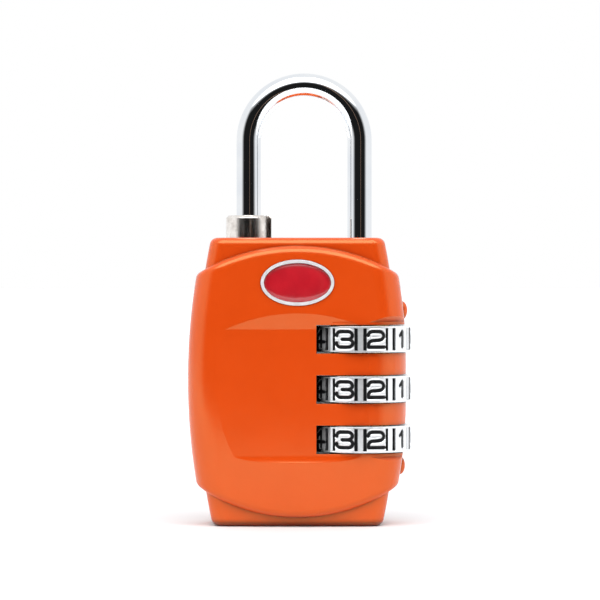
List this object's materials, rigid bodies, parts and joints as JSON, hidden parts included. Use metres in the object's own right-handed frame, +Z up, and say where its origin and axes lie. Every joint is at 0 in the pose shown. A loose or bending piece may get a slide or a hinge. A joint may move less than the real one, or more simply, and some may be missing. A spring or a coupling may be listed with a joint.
{
  "type": "luggage combination padlock",
  "caption": "Small padlock for luggage: number dials and a keyed slotted barrel hold a round shackle in a barrel-shaped painted metal case.",
  "frame": {"origin": "centre of the case's flat base, on the plane between the two case halves", "axes": "+Z up, along the shackle's legs; +X to the side where the dials are read; -Y to the front"},
  "size_m": [0.0319, 0.0148, 0.0646],
  "materials": {
    "case_paint": "gloss orange paint on die-cast zinc",
    "shackle_chrome": "polished chrome plate",
    "dial_chrome": "chrome plate with black-filled numbers",
    "collar_nickel": "satin nickel plate",
    "inner_steel": "bright steel",
    "plug_brass": "plain brass",
    "badge_silver": "silver rim",
    "badge_enamel": "clear domed red enamel"
  },
  "bodies": {
    "case": {"front_case": "case_paint", "rear_case": "case_paint", "case_pins": "inner_steel", "plug_housing": "plug_brass", "stop_bush": "inner_steel", "spring_washer": "inner_steel", "code_spring": "inner_steel", "click_spring": "inner_steel", "badge_rim": "badge_silver", "badge_lens": "badge_enamel"},
    "shackle": {"shackle": "shackle_chrome"},
    "key_barrel": {"slotted_collar": "collar_nickel", "collar_clip": "inner_steel", "drive_bar": "inner_steel", "key_plug": "plug_brass", "plug_clip": "inner_steel", "key_wafers": "plug_brass"},
    "top_dial": {"dial_top": "dial_chrome", "code_sleeve_top": "plug_brass"},
    "middle_dial": {"dial_middle": "dial_chrome", "code_sleeve_middle": "plug_brass"},
    "bottom_dial": {"dial_bottom": "dial_chrome", "code_sleeve_bottom": "plug_brass"}
  },
  "joints": [
    {"name": "shackle_lift", "type": "slide", "parent": "case", "child": "shackle", "axis": [0, 0, 1], "range_m": [0, 0.0071]},
    {"name": "key_barrel_turn", "type": "hinge", "parent": "case", "child": "key_barrel", "pos_m": [-0.007, 0, 0.02], "axis": [0, 0, 1], "range_deg": [-70, 0]},
    {"name": "dial_top_turn", "type": "hinge", "parent": "case", "child": "top_dial", "pos_m": [0.0089, 0, 0.0266], "axis": [0, 0, 1], "continuous": true},
    {"name": "dial_middle_turn", "type": "hinge", "parent": "case", "child": "middle_dial", "pos_m": [0.0089, 0, 0.0195], "axis": [0, 0, 1], "continuous": true},
    {"name": "dial_bottom_turn", "type": "hinge", "parent": "case", "child": "bottom_dial", "pos_m": [0.0089, 0, 0.0124], "axis": [0, 0, 1], "continuous": true}
  ]
}
